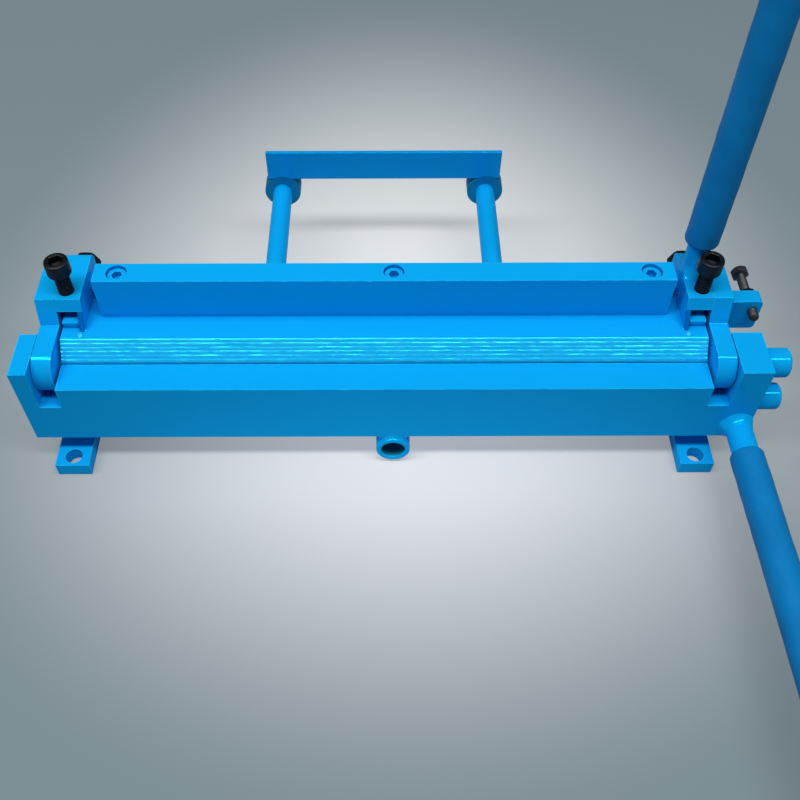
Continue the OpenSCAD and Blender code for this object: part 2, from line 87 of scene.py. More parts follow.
# Half the floor's width, how far below the feet it lies, and how strongly it shows a painted glow, with its lit
# colour dimmed, where it is seen
FLOOR_HALF = 6.0
FLOOR_DROP = 0.5 * MM
FLOOR_PAINTED_GLOW = 0.45
FLOOR_GLOW_DIM = 0.5
# The photo's lens and sensor, in millimetres, and how far its frame is moved sideways
CAMERA_LENS = 42.75
CAMERA_SENSOR = 36.0
CAMERA_SHIFT = 0.0194
JOINTS = {joint["name"]: joint for joint in frame["joints"]}
HINGE = Vector(JOINTS["leaf_fold"]["pos_m"])
SOCKET_BORE = next(
    mount["dims"]["r_mm"] * MM for mount in frame["record"]["mounts"] if mount["name"] == "handle_socket")
BODY_OF = {
    node: body
    for body, nodes in frame["record"]["behaviour"]["bodies"].items()
    for node in nodes
}
ALONG_X = Matrix.Rotation(math.radians(90), 4, "Y")
ALONG_BACK = Matrix.Rotation(math.radians(-90), 4, "X")

PLATES = (
    "bed_bar", "left_cheek", "right_cheek", "left_foot_bar", "right_foot_bar", "stop_bracket",
    "bending_leaf", "back_bar", "left_end_angle", "right_end_angle",
    "left_clamp_arm", "right_clamp_arm",
)
ROUND_PARTS = (
    "left_gauge_rod", "right_gauge_rod", "left_hinge_pin", "right_hinge_pin", "forming_pin",
    "clamp_shaft", "back_bar_screws",
)
COLLARS = ("left_gauge_collar", "right_gauge_collar")
# How keen the upper flank of each ridge on the clamp nose is, from the bending edge up
RIDGE_KEEN = (-1.0, -0.3, 1.0, 0.2, 1.0, 1.0)
BLACK_PARTS = ("stop_lock_nut", "collar_set_screws")


def colour_prop(label, about, default):
    """A colour that a user may change."""
    return bpy.props.FloatVectorProperty(
        name=label, description=about, subtype="COLOR", size=3, min=0, max=1, default=default)


def length_prop(label, about, default, low, high):
    """A length that a user may change, with its limits."""
    return bpy.props.FloatProperty(
        name=label, description=about, unit="LENGTH", min=low, max=high, default=default)


def angle_prop(label, about, default, low, high):
    """An angle that a user may change, with its limits, all given in degrees."""
    return bpy.props.FloatProperty(
        name=label, description=about, subtype="ANGLE",
        min=math.radians(low), max=math.radians(high), default=math.radians(default))


class FolderColours(bpy.types.PropertyGroup):
    paint: colour_prop("Paint", "Blue gloss enamel in full light", (0.003, 0.398, 0.885))
    # Darker paint for random patches, and painted shade in inner corners
    paint_patches_and_corner_shade: colour_prop("Deep paint", "Enamel where it pools in corners", (0.001, 0.240, 0.620))
    # Painted highlight on outer edges, and on the weld lumps in front of the end angles
    paint_edge_highlight: colour_prop("Edge paint", "Enamel where it thins over edges", (0.030, 0.600, 1.000))
    # Painted highlight on the crests of the clamp nose's ridges
    paint_crest_highlight: colour_prop(
        "Rubbed paint", "Enamel on the crests of the clamp nose", (0.060, 0.790, 1.000))
    # Painted light: a brighter copy of the paint for the clamp nose, whose down-facing flanks would look darker
    paint_nose_lit: colour_prop(
        "Nose paint", "Enamel on the clamp nose, thin over its cutter marks", (0.012, 0.510, 0.940))
    # Painted shade: a darker copy of the paint for the gauge plate
    paint_gauge_shaded: colour_prop("Gauge paint", "Duller enamel on the gauge plate", (0.003, 0.300, 0.730))
    # Painted shade: a darker copy of the paint, standing in for the shade on the collars' fronts
    paint_shaded: colour_prop(
        "Collar paint", "Thick, dull enamel on the gauge collars", (0.006, 0.185, 0.370))
    # Painted shade: a darker copy of the paint for the webs' fronts, deep under the clamp arms
    paint_web_shade: colour_prop(
        "Web paint", "Thick enamel on the webs' fronts, deep under the clamp arms", (0.001, 0.150, 0.520))
    # Painted shade: a darker copy of the paint inside the handle socket's bore
    paint_bore_shade: colour_prop("Bore paint", "Dark inside of the handle socket", (0.010, 0.210, 0.340))
    grip: colour_prop("Grip", "Sleeve grips", (0.001, 0.165, 0.430))
    grip_pale: colour_prop("Grip bloom", "Rubbed patches on the sleeve grips", (0.001, 0.205, 0.510))
    oxide: colour_prop("Black oxide", "Blackened steel screws", (0.004, 0.006, 0.010))
    oxide_worn: colour_prop("Worn oxide", "Blackened steel where it is rubbed", (0.032, 0.040, 0.052))
    stop_steel: colour_prop("Stop bolt steel", "Greyed steel of the stop bolt", (0.036, 0.046, 0.050))
    stop_steel_worn: colour_prop("Worn stop bolt", "Stop bolt where it is rubbed", (0.150, 0.158, 0.158))
    floor: colour_prop("Floor", "Studio floor under the folder", (0.900, 0.915, 0.925))
    # Painted shade: the floor darkens away from a painted pool of light round the folder
    floor_far_shade: colour_prop("Far floor", "Studio floor away from the folder", (0.215, 0.275, 0.305))


class FolderSizes(bpy.types.PropertyGroup):
    edge_round: length_prop(
        "Edge rounding", "Rounding of the painted plate edges", 0.8 * MM, 0.1 * MM, 2 * MM)
    collar_round: length_prop(
        "Collar rounding", "Rounding of the gauge collars' edges", 1.8 * MM, 0.1 * MM, 3 * MM)
    socket_round: length_prop(
        "Socket rounding", "Rounding of the handle socket's mouth", 1.2 * MM, 0.1 * MM, 1.5 * MM)
    ridge_wear: length_prop(
        "Ridge wear", "How far the ridges on the clamp nose are worn down", 0.29 * MM, 0, 0.4 * MM)
    ridge_lean: length_prop(
        "Ridge lean", "How far the keenest crests on the clamp nose lean up", 0.18 * MM, 0, 0.4 * MM)
    ridge_wave: length_prop(
        "Ridge waviness", "How far the ridges on the clamp nose wander", 0.2 * MM, 0, 0.5 * MM)
    screw_thread: length_prop(
        "Screw thread", "Thread diameter of the adjusting screws and set bolts",
        9.5 * MM, 6 * MM, 12 * MM)
    stop_thread: length_prop("Stop thread", "Thread diameter of the stop bolt", 6 * MM, 4 * MM, 12 * MM)
    pitch: length_prop("Thread pitch", "Distance from one thread to the next", 1.5 * MM, 0.8 * MM, 2 * MM)
    screw_key: length_prop(
        "Socket key", "Width across flats of the adjusting screws' sockets", 8.5 * MM, 5 * MM, 10 * MM)
    screw_head: length_prop(
        "Socket head", "Height of the adjusting screws' heads", 10 * MM, 6 * MM, 14 * MM)
    set_bolt_head: length_prop(
        "Set bolt head", "Height of the set bolts' heads", 6.4 * MM, 4 * MM, 10 * MM)
    stop_head: length_prop("Stop bolt head", "Height of the stop bolt's head", 4.5 * MM, 3 * MM, 10 * MM)
    weld: length_prop("Weld bead", "Radius of the weld beads", 2.2 * MM, 0.5 * MM, 5 * MM)
    lever_weld: length_prop(
        "Lever weld", "Reach of the weld round the lever roots", 4.0 * MM, 0.5 * MM, 6 * MM)
    weld_ripple: length_prop(
        "Weld ripple", "Length of one ripple in a weld bead", 2.6 * MM, 1 * MM, 6 * MM)
    grip_wave: length_prop(
        "Grip waviness", "How far the sleeve grips swell and sink", 0.22 * MM, 0, 1 * MM)
    bend_rise: angle_prop("Bend lever rise", "Rise of the bend lever towards its end", 2.2, 0, 10)
    clamp_lean: angle_prop("Clamp lever lean", "Backward lean of the clamp lever", 1.3, 0, 10)
    camera_back: length_prop("Camera back", "Camera distance in front of the hinge", 0.3799, 0.1, 3)
    camera_up: length_prop("Camera up", "Camera height above the hinge", 0.4498, 0.1, 3)
    camera_pitch: angle_prop("Camera pitch", "Angle of the view below the horizon", 52, 0, 90)
    camera_roll: angle_prop("Camera roll", "Turn of the camera about its view", -0.17, -5, 5)


def colours():
    """The folder's colours, as the user has set them."""
    return bpy.context.scene.folder_colours


def sizes():
    """The folder's sizes, as the user has set them."""
    return bpy.context.scene.folder_sizes


# Shader node groups and materials


def plug(tree, value, socket):
    """Links an input to another socket, or sets it to a value."""
    if isinstance(value, bpy.types.NodeSocket):
        tree.links.new(value, socket)
    else:
        socket.default_value = value


def set_inputs(tree, node, **inputs):
    """Sets a node's inputs to values or sockets; an input's name has _ for a space."""
    for name, value in inputs.items():
        plug(tree, value, node.inputs[name.replace("_", " ")])


def add_node(tree, kind, settings=None, **inputs):
    """Adds a node with its settings and inputs."""
    node = tree.nodes.new(kind)
    for name, value in (settings or {}).items():
        setattr(node, name, value)
    set_inputs(tree, node, **inputs)
    return node


def reckon(tree, kind, operation, *values):
    """Adds a maths node, sets its inputs in order and returns its value."""
    node = add_node(tree, kind, {"operation": operation})
    for value, socket in zip(values, node.inputs):
        plug(tree, value, socket)
    return node.outputs["Value"]


def new_group(name, inputs, outputs):
    """Starts a shader node group; returns it with its input and output nodes."""
    group = bpy.data.node_groups.new(name, "ShaderNodeTree")
    for label, default in inputs.items():
        socket = group.interface.new_socket(label, in_out="INPUT", socket_type="NodeSocketFloat")
        socket.default_value = default
    for label, kind in outputs.items():
        group.interface.new_socket(label, in_out="OUTPUT", socket_type=kind)
    return group, group.nodes.new("NodeGroupInput"), group.nodes.new("NodeGroupOutput")


def speckle_group():
    """Soft grain on an object: one value for bump height and one, slower, for patches."""
    name = "surface_grain"
    if name in bpy.data.node_groups:
        return bpy.data.node_groups[name]
    group, given, result = new_group(
        name,
        {"Grain Scale": 900.0, "Patch Scale": 14.0},
        {"Height": "NodeSocketFloat", "Patches": "NodeSocketFloat"})
    place = add_node(group, "ShaderNodeTexCoord")
    grain = add_node(
        group, "ShaderNodeTexNoise", Vector=place.outputs["Object"],
        Scale=given.outputs["Grain Scale"], Detail=2.0, Roughness=0.5)
    patches = add_node(
        group, "ShaderNodeTexNoise", Vector=place.outputs["Object"],
        Scale=given.outputs["Patch Scale"], Detail=4.0, Roughness=0.6)
    set_inputs(group, result, Height=grain.outputs["Fac"], Patches=patches.outputs["Fac"])
    return group


def edge_and_corner_shade_group():
    """Masks for outer edges, which get a painted highlight on enamel and real rubbing on black steel, and painted
    shade for inner corners, from ambient occlusion.
    """
    name = "edges_and_corners"
    if name in bpy.data.node_groups:
        return bpy.data.node_groups[name]
    group, given, result = new_group(
        name,
        {"Edge Width": 0.0012, "Corner Reach": 0.006, "Break Up": 120.0},
        {"Edge": "NodeSocketFloat", "Corner": "NodeSocketFloat"})
    geometry = add_node(group, "ShaderNodeNewGeometry")
    bevel = add_node(group, "ShaderNodeBevel", {"samples": 6}, Radius=given.outputs["Edge Width"])
    # Edge mask: a painted highlight where enamel uses it, real rubbing where black steel uses it
    facing = reckon(
        group, "ShaderNodeVectorMath", "DOT_PRODUCT", bevel.outputs["Normal"], geometry.outputs["Normal"])
    edge = map_range(group, facing, 0.99, 0.80, 0.0, 1.0)
    place = add_node(group, "ShaderNodeTexCoord")
    breaks = add_node(
        group, "ShaderNodeTexNoise", Vector=place.outputs["Object"],
        Scale=given.outputs["Break Up"], Detail=3.0)
    uneven = map_range(group, breaks.outputs["Fac"], 0.35, 0.62, 0.0, 1.0)
    worn = reckon(group, "ShaderNodeMath", "MULTIPLY", edge, uneven)
    # Painted shade: ambient occlusion darkens inner corners
    shade = add_node(
        group, "ShaderNodeAmbientOcclusion", {"samples": 8, "only_local": False},
        Distance=given.outputs["Corner Reach"])
    corner = map_range(group, shade.outputs["AO"], 0.85, 0.35, 0.0, 1.0)
    set_inputs(group, result, Edge=worn, Corner=corner)
    return group


def new_material(name):
    """Starts a material; returns it with its node tree and shader."""
    material = bpy.data.materials.new(name)
    material.use_nodes = True
    tree = material.node_tree
    return material, tree, tree.nodes["Principled BSDF"]


def use_group(tree, group, **inputs):
    """Places a node group in a material with its own values."""
    return add_node(tree, "ShaderNodeGroup", {"node_tree": group}, **inputs)


def blend_colour(tree, mask, base, top):
    """Mixes a colour or colour socket with another by a mask."""
    mix = add_node(tree, "ShaderNodeMix", {"data_type": "RGBA"})
    tree.links.new(mask, mix.inputs["Factor"])
    for label, value in (("A", base), ("B", top)):
        socket = next(s for s in mix.inputs if s.name == label and s.type == "RGBA")
        linked = isinstance(value, bpy.types.NodeSocket)
        plug(tree, value if linked else (*value, 1.0), socket)
    return next(s for s in mix.outputs if s.type == "RGBA")


def map_range(tree, value, low, high, to_low, to_high, curve="LINEAR"):
    """Maps a value from one range to another, held at both ends."""
    node = add_node(
        tree, "ShaderNodeMapRange", {"interpolation_type": curve}, Value=value,
        From_Min=low, From_Max=high, To_Min=to_low, To_Max=to_high)
    return node.outputs["Result"]


def enamel(name="blue_enamel", base=None, ridged=False):
    """Blue gloss enamel with a faint orange peel, painted shade in inner corners and painted highlights on edges;
    a given base gets no edge highlight, and ridged adds uneven cutter marks along X with painted highlights on
    their crests and no corner shade.
    """
    if name in bpy.data.materials:
        return bpy.data.materials[name]
    tones = colours()
    material, tree, shader = new_material(name)
    grain = use_group(tree, speckle_group(), Grain_Scale=700.0, Patch_Scale=11.0)
    edges = use_group(tree, edge_and_corner_shade_group(), Edge_Width=0.0014, Corner_Reach=0.007, Break_Up=95.0)
    base_or_corner_shaded = base
    # Painted shade: the Corner mask darkens inner corners
    if not ridged:
        base_or_corner_shaded = blend_colour(tree, edges.outputs["Corner"], base or tones.paint, tones.paint_patches_and_corner_shade)
    # Painted highlight: outer edges brighten by the Edge mask, unless a base is given
    edge_highlight_tone = base if base and not ridged else tones.paint_edge_highlight
    with_edge_highlight = blend_colour(tree, edges.outputs["Edge"], base_or_corner_shaded, edge_highlight_tone)
    patch = map_range(tree, grain.outputs["Patches"], 0.35, 0.7, 0.0, 0.10)
    tone = blend_colour(tree, patch, with_edge_highlight, tones.paint_patches_and_corner_shade)
    gloss = map_range(tree, grain.outputs["Patches"], 0.3, 0.7, 0.08, 0.14)
    bump = add_node(tree, "ShaderNodeBump", Strength=0.10, Distance=0.0002, Height=grain.outputs["Height"])
    if ridged:
        place = add_node(tree, "ShaderNodeTexCoord")
        stretch = add_node(tree, "ShaderNodeMapping", Vector=place.outputs["Object"], Scale=(0.05, 1.0, 1.0))
        cuts = add_node(
            tree, "ShaderNodeTexNoise", Vector=stretch.outputs["Vector"],
            Scale=1100.0, Detail=3.0, Roughness=0.6)
        bump = add_node(
            tree, "ShaderNodeBump", Strength=0.3, Distance=0.0003,
            Height=cuts.outputs["Fac"], Normal=bump.outputs["Normal"])
        # Painted highlight: the crests of the ridges brighten
        crest = add_node(tree, "ShaderNodeAttribute", {"attribute_name": "crest"})
        crest_highlight_mask = map_range(tree, crest.outputs["Fac"], 0.35, 0.85, 0.0, 0.35)
        tone = blend_colour(tree, crest_highlight_mask, tone, tones.paint_crest_highlight)
    set_inputs(
        tree, shader, Base_Color=tone, Roughness=gloss, Normal=bump.outputs["Normal"],
        Metallic=0.12, Specular_IOR_Level=0.0, Coat_Weight=0.02, Coat_Roughness=0.06)
    return material


def sleeve():
    """Matte blue sleeve with fine pores and rubbed patches."""
    name = "blue_sleeve"
    if name in bpy.data.materials:
        return bpy.data.materials[name]
    tones = colours()
    material, tree, shader = new_material(name)
    grain = use_group(tree, speckle_group(), Grain_Scale=1400.0, Patch_Scale=32.0)
    rubbed = map_range(tree, grain.outputs["Patches"], 0.38, 0.66, 0.0, 0.7)
    tone = blend_colour(tree, rubbed, tones.grip, tones.grip_pale)
    dullness = map_range(tree, grain.outputs["Patches"], 0.3, 0.7, 0.68, 0.52)
    bump = add_node(tree, "ShaderNodeBump", Strength=0.35, Distance=0.0003, Height=grain.outputs["Height"])
    set_inputs(
        tree, shader, Base_Color=tone, Roughness=dullness, Normal=bump.outputs["Normal"],
        Specular_IOR_Level=0.12)
    return material


def black_oxide(name="black_steel", base=None, worn=None):
    """Blackened steel, paler in patches and where the edges are rubbed."""
    if name in bpy.data.materials:
        return bpy.data.materials[name]
    tones = colours()
    material, tree, shader = new_material(name)
    grain = use_group(tree, speckle_group(), Grain_Scale=1800.0, Patch_Scale=90.0)
    edges = use_group(tree, edge_and_corner_shade_group(), Edge_Width=0.0007, Corner_Reach=0.002, Break_Up=400.0)
    patch = map_range(tree, grain.outputs["Patches"], 0.45, 0.75, 0.0, 0.35)
    worn = worn or tones.oxide_worn
    mottled = blend_colour(tree, patch, base or tones.oxide, worn)
    tone = blend_colour(tree, edges.outputs["Edge"], mottled, worn)
    dullness = map_range(tree, grain.outputs["Patches"], 0.3, 0.7, 0.34, 0.5)
    bump = add_node(tree, "ShaderNodeBump", Strength=0.12, Distance=0.0002, Height=grain.outputs["Height"])
    set_inputs(
        tree, shader, Base_Color=tone, Roughness=dullness, Normal=bump.outputs["Normal"], Metallic=0.55)
    return material


# Mesh helpers


def finish_piece(name, bm, body, material, replaced=(), crease=CREASE):
    """Turns a bmesh in the row frame into a piece that rides on a body."""
    bmesh.ops.recalc_face_normals(bm, faces=bm.faces)
    mesh = bpy.data.meshes.new(name)
    bm.to_mesh(mesh)
    bm.free()
    piece = bpy.data.objects.new(name, mesh)
    bpy.context.scene.collection.objects.link(piece)
    mesh.materials.append(material)
    mesh.shade_smooth()
    mesh.set_sharp_from_angle(angle=math.radians(crease))
    weigh = piece.modifiers.new("flat_faces_first", "WEIGHTED_NORMAL")
    weigh.mode = "FACE_AREA"
    weigh.weight = 60
    weigh.keep_sharp = True
    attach(piece, body)
    if replaced:
        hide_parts(*replaced)
    return piece


def rounded_copy(node, width, material, keep=None, after=None):
    """Replaces a node with a copy whose corners, but for those to keep, are rounded by the paint."""
    bm = bmesh.new()
    bm.from_mesh(frame["nodes"][node].data)
    bmesh.ops.remove_doubles(bm, verts=bm.verts, dist=SAME_POINT)
    bmesh.ops.dissolve_limit(bm, angle_limit=SAME_PLANE, verts=bm.verts, edges=bm.edges)
    corners = [
        edge for edge in bm.edges
        if len(edge.link_faces) == 2
        and edge.calc_face_angle() > CORNER
        and not (keep and keep(edge))
    ]
    bmesh.ops.bevel(
        bm, geom=corners, offset=width, offset_type="OFFSET", segments=3, profile=0.5,
        affect="EDGES", clamp_overlap=True)
    if after:
        after(bm)
    return finish_piece(node + "_painted", bm, BODY_OF[node], material, [node])


def skin(bm, rings, closed=False):
    """Joins rings of points, all of one length, into a tube with two ends or a closed loop."""
    loops = [[bm.verts.new(point) for point in ring] for ring in rings]
    pairs = list(zip(loops, loops[1:]))
    if closed:
        pairs.append((loops[-1], loops[0]))
    for lower, upper in pairs:
        for i in range(len(lower)):
            j = (i + 1) % len(lower)
            bm.faces.new((lower[i], lower[j], upper[j], upper[i]))
    if not closed:
        bm.faces.new(loops[0])
        bm.faces.new(loops[-1])


def turned(radius, height, place):
    """One ring about Z at a height; radius is a number or a function of the angle."""
    points = []
    for i in range(RING):
        angle = math.tau * i / RING
        r = radius(angle) if callable(radius) else radius
        points.append(place @ Vector((r * math.cos(angle), r * math.sin(angle), height)))
    return points


def turned_all(profile, place):
    """Rings about Z for a list of radii and heights."""
    return [turned(radius, height, place) for radius, height in profile]


def hexagon(flats):
    """Radius of a hexagon of that width across flats, as a function of the angle."""
    side = math.radians(60)
    return lambda angle: flats / 2 / math.cos((angle + side / 2) % side - side / 2)


def under(limit, outline):
    """An outline that is turned down to a limit."""
    return lambda angle: min(limit, outline(angle))


def thread(radius, pitch, height):
    """Radius of a screw thread at a height, as a function of the angle."""
    depth = 0.3 * pitch

    def outline(angle):
        phase = (height / pitch - angle / math.tau) % 1.0
        return radius - depth * abs(2 * phase - 1) ** 1.4
    return outline


def thread_rings(radius, pitch, low, high, place):
    """Rings of a threaded shank from its chamfered tip at low up to high."""
    step = pitch / 6
    count = round((high - low) / step)
    tip = [turned(radius - pitch, low, place)]
    shank = [
        turned(thread(radius, pitch, low + i * step), low + i * step, place)
        for i in range(5, count)
    ]
    return tip + shank + [turned(radius - 0.3 * pitch, high, place)]


def bead(bm, path, radius, ripple, closed=False, seed=0.0):
    """Lays a rippled weld bead along a path of points."""
    count = len(path)
    rings = []
    travelled = 0.0
    for i, point in enumerate(path):
        before = path[i - 1] if closed or i else point
        after = path[(i + 1) % count] if closed or i < count - 1 else point
        along = (after - before).normalized()
        across = along.orthogonal().normalized()
        other = along.cross(across)
        travelled += (point - before).length
        swell = 1 + 0.05 * math.sin(math.tau * travelled / ripple)
        swell += 0.24 * noise.noise(point / (3 * MM) + Vector((seed, 0, 0)))
        taper = 1.0
        if not closed:
            taper = min(1.0, 0.45 + 0.28 * min(i, count - 1 - i))
        rings.append([
            point + radius * swell * taper * (math.cos(a) * across + math.sin(a) * other)
            for a in (math.tau * k / BEAD_SIDES for k in range(BEAD_SIDES))
        ])
    if closed:
        align_rings(rings)
    skin(bm, rings, closed)


def align_rings(rings):
    """Turns each ring of a closed bead so that it starts nearest to the one before."""
    for i in range(1, len(rings)):
        start = min(range(BEAD_SIDES), key=lambda k: (rings[i][k] - rings[i - 1][0]).length)
        rings[i] = rings[i][start:] + rings[i][:start]


def straight(start, end):
    """Closely spaced points from a start to an end."""
    start, end = Vector(start), Vector(end)
    count = max(2, round((end - start).length / BEAD_STEP))
    return [start.lerp(end, i / count) for i in range(count + 1)]


def circle(centre, radius, turn):
    """Closely spaced points of a circle about the turned Z axis."""
    return [
        Vector(centre) + turn @ Vector((radius * math.cos(a), radius * math.sin(a), 0))
        for a in (math.tau * i / BEAD_STEPS_ROUND for i in range(BEAD_STEPS_ROUND))
    ]


def fillet_rings(radius, reach, place, seed):
    """Rings of an uneven weld fillet round a rod that stands on Z = 0; the first lies below that."""
    def outline(share):
        def spread(angle):
            spot = Vector((1.2 * math.cos(angle), 1.2 * math.sin(angle), seed))
            return radius + share * reach * (1 + 0.28 * noise.noise(spot))
        return spread
    rings = [turned(outline(1.6), -0.6 * reach, place)]
    for i in range(11):
        a = math.radians(30 + 6 * i)
        share = 2 * (1 - math.sin(a))
        rings.append(turned(outline(share), 2.3 * reach * (math.cos(math.radians(30)) - math.cos(a)), place))
    return rings


def rod_radius(grip):
    """Radius of the lever rod inside a grip, from the far end of the rod."""
    rod = frame["nodes"][grip.replace("grip", "rod")].data
    low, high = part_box(grip)
    middle = (low + high) / 2
    inside = [
        vert.co for vert in rod.vertices
        if all(low[i] - NEAR < vert.co[i] < high[i] + NEAR for i in range(3))
    ]
    return max(abs(point.x - middle.x) for point in inside)


def bend_turn():
    """Turns Z along the bend lever."""
    return Matrix.Rotation(math.radians(90) - sizes().bend_rise, 4, "X")


def clamp_turn():
    """Turns Z along the clamp lever."""
    return Matrix.Rotation(-sizes().clamp_lean, 4, "X")


# Operators


class FOLDER_OT_plates(bpy.types.Operator):
    """Paints the flat plates and bars and rounds their edges"""
    bl_idname = "folder.plates"
    bl_label = "Painted Plates"

    def execute(self, context):
        for node in PLATES:
            piece = rounded_copy(node, sizes().edge_round, enamel(), self.seam(node))
            if node == "left_cheek":
                self.lug_corner(piece)
            if node.endswith("_end_angle"):
                self.shade_web_front(piece, node)
        # Painted shade: the gauge plate gets a darker copy of the paint
        shaded_enamel = enamel("blue_enamel_gauge", colours().paint_gauge_shaded)
        rounded_copy("gauge_plate", sizes().edge_round, shaded_enamel)
        return {"FINISHED"}

    def lug_corner(self, piece):
        """Keeps the front corner of the left hinge lug crisp, so that its round front shines up to it."""
        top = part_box("bending_leaf")[1].z
        for edge in piece.data.edges:
            ends = [piece.data.vertices[i].co for i in edge.vertices]
            if all(end.y < HINGE.y and abs(end.z - top) < 0.05 * MM for end in ends):
                edge.use_edge_sharp = True

    def shade_web_front(self, piece, node):
        """Paints shade onto the leaning front of an end angle's web, deep under the clamp arm."""
        low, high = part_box(node)
        points = [vert.co for vert in frame["nodes"][node].data.vertices]
        brow = min(point.y for point in points if point.z > high.z - NEAR)
        outward = Vector((0, low.z - high.z, brow - low.y)).normalized()
        piece.data.materials.append(enamel("blue_enamel_web", colours().paint_web_shade))
        for face in piece.data.polygons:
            if (face.center - low).dot(outward) > -0.9 * MM:
                face.material_index = 1

    def seam(self, node):
        """Tells which edges of a cheek or clamp arm lie where the two meet under the paint."""
        side = node.split("_")[0]
        if node not in (side + "_cheek", side + "_clamp_arm"):
            return None
        low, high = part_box(side + "_cheek")
        meet = high.x if side == "left" else low.x
        return lambda edge: all(abs(vert.co.x - meet) < 0.3 * MM for vert in edge.verts)


class FOLDER_OT_round_parts(bpy.types.Operator):
    """Paints the rods, pins, tubes, collars and sunk screws"""
    bl_idname = "folder.round_parts"
    bl_label = "Painted Round Parts"

    def execute(self, context):
        for node in ROUND_PARTS:
            rounded_copy(node, 0.4 * sizes().edge_round, enamel())
        for node in COLLARS:
            # Painted shade: the collars get a darker copy of the paint
            shaded_enamel = enamel("blue_enamel_dull", colours().paint_shaded)
            rounded_copy(node, sizes().collar_round, shaded_enamel)
        self.handle_socket()
        return {"FINISHED"}

    def handle_socket(self):
        """Rounds the mouth of the socket and paints shade into its bore."""
        low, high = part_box("handle_socket")
        axis = Vector(((low.x + high.x) / 2, low.z + (high.x - low.x) / 2))
        mouth = low.y + NEAR
        piece = rounded_copy(
            "handle_socket", sizes().socket_round, enamel(),
            keep=lambda edge: any(vert.co.y > mouth for vert in edge.verts))
        # Painted shade: the bore's faces get a darker copy of the paint
        piece.data.materials.append(enamel("blue_enamel_bore", colours().paint_bore_shade))
        for face in piece.data.polygons:
            out = (face.center.xz - axis).length
            if out < SOCKET_BORE + NEAR and face.center.y > low.y + 0.9 * sizes().socket_round:
                face.material_index = 1


class FOLDER_OT_clamp_plate(bpy.types.Operator):
    """Paints the clamp plate, with a brighter copy of the paint on its ridged nose as painted light, and leaves
    cutter marks there with painted highlights on their crests
    """
    bl_idname = "folder.clamp_plate"
    bl_label = "Ridged Clamp Plate"

    def execute(self, context):
        low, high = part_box("clamp_plate")
        nose_back = low.y + high.z - low.z
        inward = Vector((0, 1, -1)).normalized()
        uphill = Vector((0, 1, 1)).normalized()

        def on_nose(edge):
            middle = (edge.verts[0].co + edge.verts[1].co) / 2
            return middle.y < nose_back and low.z + NEAR < middle.z < high.z - 0.2 * MM

        def roughen(bm):
            """Cuts the ridges into short lengths, lets them wander and marks the painted highlight on their
            crests.
            """
            lines = [
                edge for edge in bm.edges
                if on_nose(edge) and abs(edge.verts[0].co.x - edge.verts[1].co.x) > 0.5 * (high.x - low.x)
            ]
            crests = {round(edge.verts[0].co.z, 6) for edge in lines if edge.is_convex}
            crest = bm.verts.layers.float.new("crest")
            made = bmesh.ops.subdivide_edges(bm, edges=lines, cuts=NOSE_CUTS, use_grid_fill=True)
            for part in made["geom_inner"]:
                if isinstance(part, bmesh.types.BMVert):
                    height = (part.co.z - low.z) / (high.z - low.z)
                    spot = Vector((part.co.x / WANDER_LENGTH, part.co.z / WANDER_HEIGHT, 0.0))
                    finer = Vector((3 * spot.x, spot.y, 5.0))
                    if round(part.co.z, 6) in crests:
                        part[crest] = self.brightness(part.co, height)
                        keen = RIDGE_KEEN[int(height * len(RIDGE_KEEN))]
                        part.co += sizes().ridge_wear * inward + keen * sizes().ridge_lean * uphill
                    drift = noise.noise(spot) + 0.5 * noise.noise(finer)
                    part.co.z += sizes().ridge_wave * drift
                    part.co.y += 0.6 * sizes().ridge_wave * noise.noise(finer + Vector((0, 0, 4)))
        piece = rounded_copy(
            "clamp_plate", 0.2 * sizes().edge_round, enamel(), on_nose, roughen)
        # Painted light: the nose gets a brighter copy of the paint
        piece.data.materials.append(enamel("blue_enamel_ridged", colours().paint_nose_lit, ridged=True))
        for face in piece.data.polygons:
            if face.center.y < nose_back and low.z + NEAR < face.center.z < high.z - 0.005 * MM:
                face.material_index = 1
                face.use_smooth = False
        return {"FINISHED"}

    def brightness(self, point, height):
        """How strong a crest's painted highlight is: broken along its length, and weaker low down."""
        row = point.z / CREST_HEIGHT
        lengths = noise.noise(Vector((point.x / BRIGHT_LENGTH, row, 2.0)))
        breaks = noise.noise(Vector((point.x / BREAK_LENGTH, row, 9.0)))
        share = 0.6 * height + 0.8 * lengths + 0.9 * breaks
        return min(1.0, max(0.0, 0.5 + 2.4 * (share - 0.20)))


class FOLDER_OT_black_parts(bpy.types.Operator):
    """Blackens the lock nut and the collar set screws"""
    bl_idname = "folder.black_parts"
    bl_label = "Black Small Parts"

    def execute(self, context):
        for node in BLACK_PARTS:
            materials = frame["nodes"][node].data.materials
            materials.clear()
            materials.append(black_oxide())
        return {"FINISHED"}


